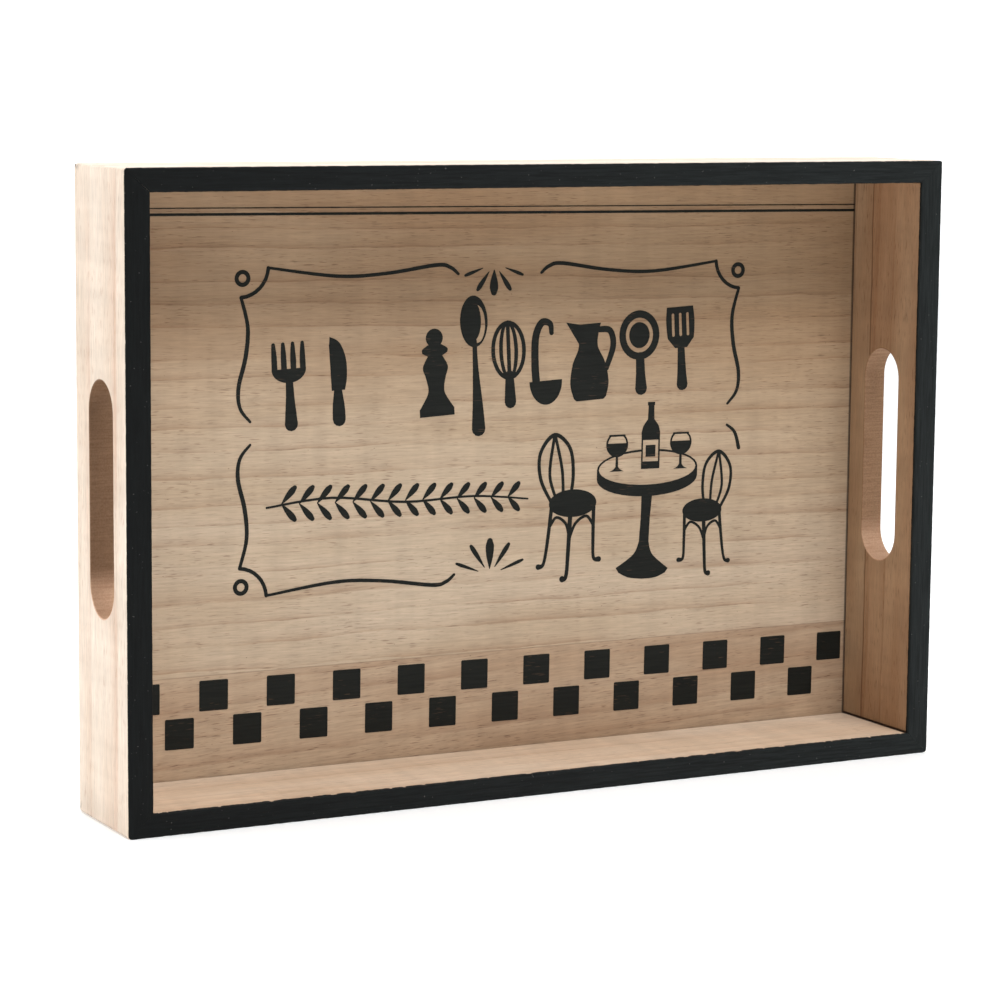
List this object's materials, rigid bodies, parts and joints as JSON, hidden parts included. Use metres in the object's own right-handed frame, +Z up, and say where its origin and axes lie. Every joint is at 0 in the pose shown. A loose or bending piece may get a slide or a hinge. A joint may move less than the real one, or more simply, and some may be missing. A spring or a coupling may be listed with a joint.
{
  "type": "serving tray",
  "caption": "Rectangular wooden serving tray with mitred walls, a round-ended handle slot in each end wall, a black painted rim and a printed base panel.",
  "frame": {"origin": "middle of the tray's length and depth, on the surface that it stands on, which is the outer face of the lower long wall", "axes": "+X along the length, towards the right-hand end wall as seen from the open side; +Y from the open, painted rim towards the underside of the base; +Z up, across the tray's width, because the tray is displayed standing on a long wall"},
  "size_m": [0.4, 0.058, 0.277],
  "materials": {
    "wall_wood": "bare sanded paulownia, pale cream to peach, fine straight grain",
    "panel_wood": "bare sanded paulownia veneer plywood, tan, grain along the length",
    "rim_paint": "matt charcoal-black paint on wood, brushed, slightly speckled",
    "print_ink": "matt black screen-printed ink on the wooden panel",
    "brad_steel": "bright wire brads, slightly dulled"
  },
  "bodies": {
    "root": {"end_wall_left": "wall_wood", "end_wall_right": "wall_wood", "long_wall_upper": "wall_wood", "long_wall_lower": "wall_wood", "base_panel": "panel_wood", "corner_brads": "brad_steel", "panel_brads": "brad_steel", "rim_paint_left": "rim_paint", "rim_paint_right": "rim_paint", "rim_paint_upper": "rim_paint", "rim_paint_lower": "rim_paint", "print_rules": "print_ink", "print_squares": "print_ink", "print_frame": "print_ink", "print_corner_rings": "print_ink", "print_fan_upper": "print_ink", "print_fan_lower": "print_ink", "print_utensils": "print_ink", "print_sprig": "print_ink", "print_table": "print_ink", "print_bottle": "print_ink", "print_glasses": "print_ink", "print_chair_left": "print_ink", "print_chair_right": "print_ink"}
  },
  "joints": []
}
